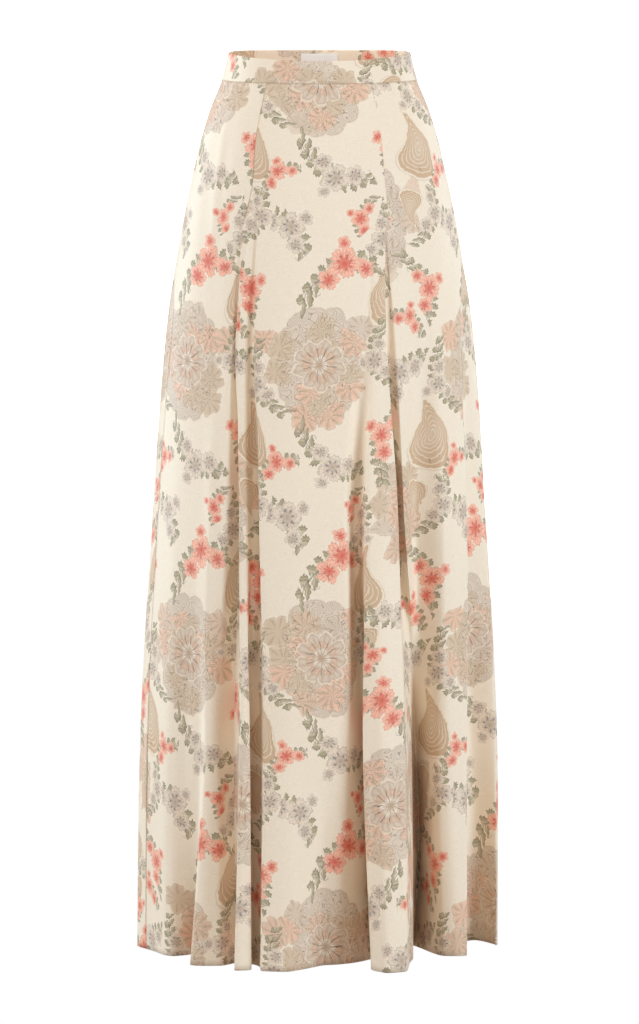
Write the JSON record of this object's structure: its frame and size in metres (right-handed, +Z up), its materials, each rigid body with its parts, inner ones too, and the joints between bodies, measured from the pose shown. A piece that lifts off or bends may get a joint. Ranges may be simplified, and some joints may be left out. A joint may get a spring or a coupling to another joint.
{
  "type": "maxi skirt",
  "caption": "Long flared skirt of thin printed cloth with a narrow contoured waistband, inverted pleats opening below the hips at the front, a plain flared back and a concealed side zip.",
  "frame": {"origin": "the centre of the waist opening, half way up the waistband", "axes": "+X is the wearer's left side, -Y the front, +Z up"},
  "size_m": [0.4458, 0.4393, 1.1021],
  "materials": {
    "printed_cloth": "thin, soft, slightly lustrous woven cloth with an all-over print",
    "waistband_cloth": "the same printed cloth, doubled and interlined",
    "label_cloth": "blank white woven tape",
    "zip_tape": "woven polyester zip tape",
    "zip_metal": "cream enamel on zinc alloy"
  },
  "bodies": {
    "skirt": {"waistband_front": "waistband_cloth", "waistband_back": "waistband_cloth", "skirt_front": "printed_cloth", "skirt_back": "printed_cloth", "label": "label_cloth", "zip_tape_front": "zip_tape", "zip_tape_back": "zip_tape", "zip_slider": "zip_metal"},
    "pull": {"zip_pull": "zip_metal"}
  },
  "joints": [
    {"name": "zip_pull_hinge", "type": "hinge", "parent": "skirt", "child": "pull", "pos_m": [0.11041, 0.02096, 0.01584], "axis": [0.2699, -0.9538, -0.1317], "range_deg": [0, 160]}
  ]
}
